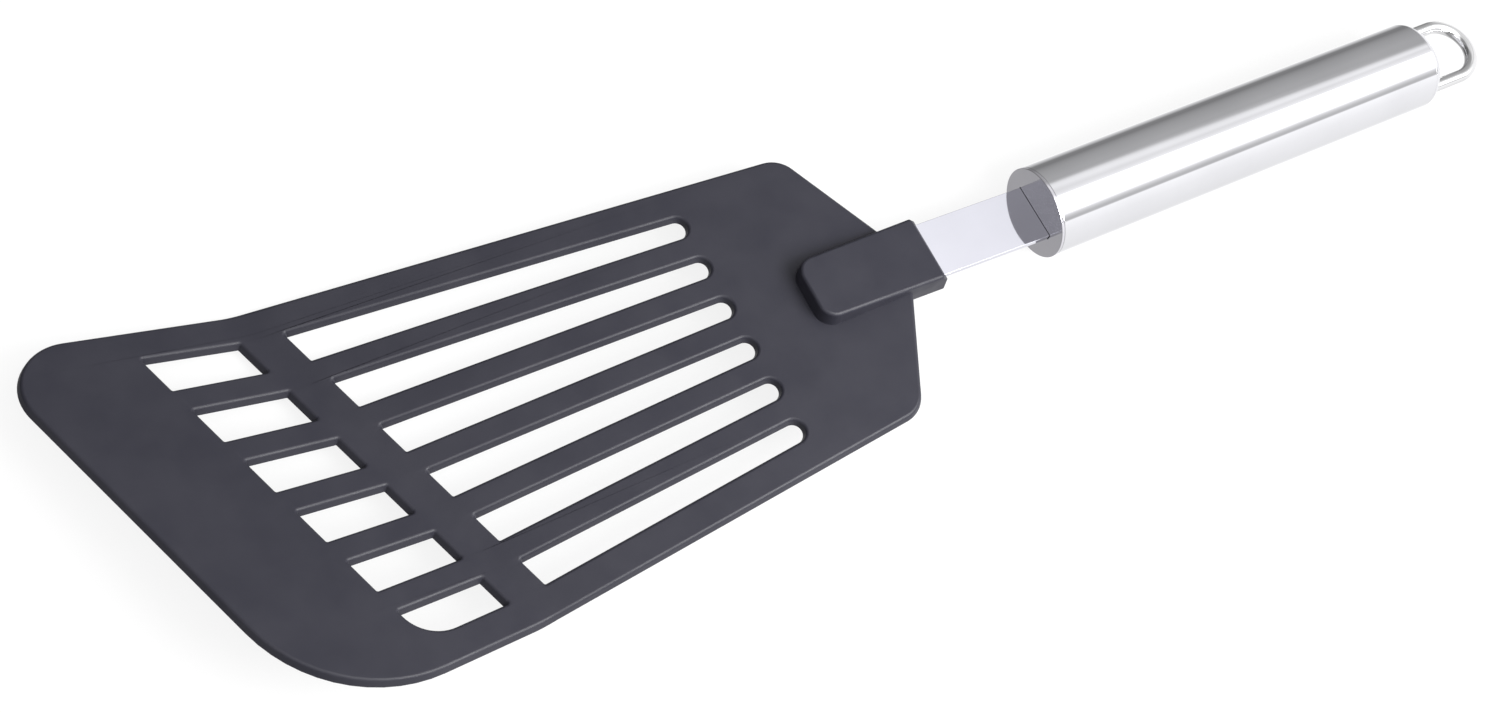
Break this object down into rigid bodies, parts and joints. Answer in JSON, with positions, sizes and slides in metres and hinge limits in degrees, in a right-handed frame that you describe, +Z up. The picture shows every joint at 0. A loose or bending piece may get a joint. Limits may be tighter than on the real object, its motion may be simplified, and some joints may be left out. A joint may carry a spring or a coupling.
{
  "type": "grill spatula",
  "caption": "Wide slotted nylon turner with a slanted, upturned front edge, a flat steel strap and a hollow round steel handle that ends in a wire hanging loop.",
  "frame": {"origin": "on the table under the middle of the tool's box, the tool lying as it comes to rest", "axes": "+X along the handle, from the head towards the hanging loop; +Z up from the table"},
  "size_m": [0.3622, 0.0948, 0.022],
  "materials": {
    "nylon": "fine matt moulded nylon, charcoal",
    "strap_steel": "polished stainless strip",
    "cap_steel": "polished drawn stainless sheet",
    "handle_steel": "polished stainless tube",
    "wire_steel": "bright drawn stainless wire",
    "spacer_nylon": "plain moulded nylon, hidden"
  },
  "bodies": {
    "root": {"turner_head": "nylon", "strap": "strap_steel", "front_cap": "cap_steel", "handle_tube": "handle_steel", "strap_spacer": "spacer_nylon", "rear_cap": "cap_steel", "hanging_loop": "wire_steel"}
  },
  "joints": []
}
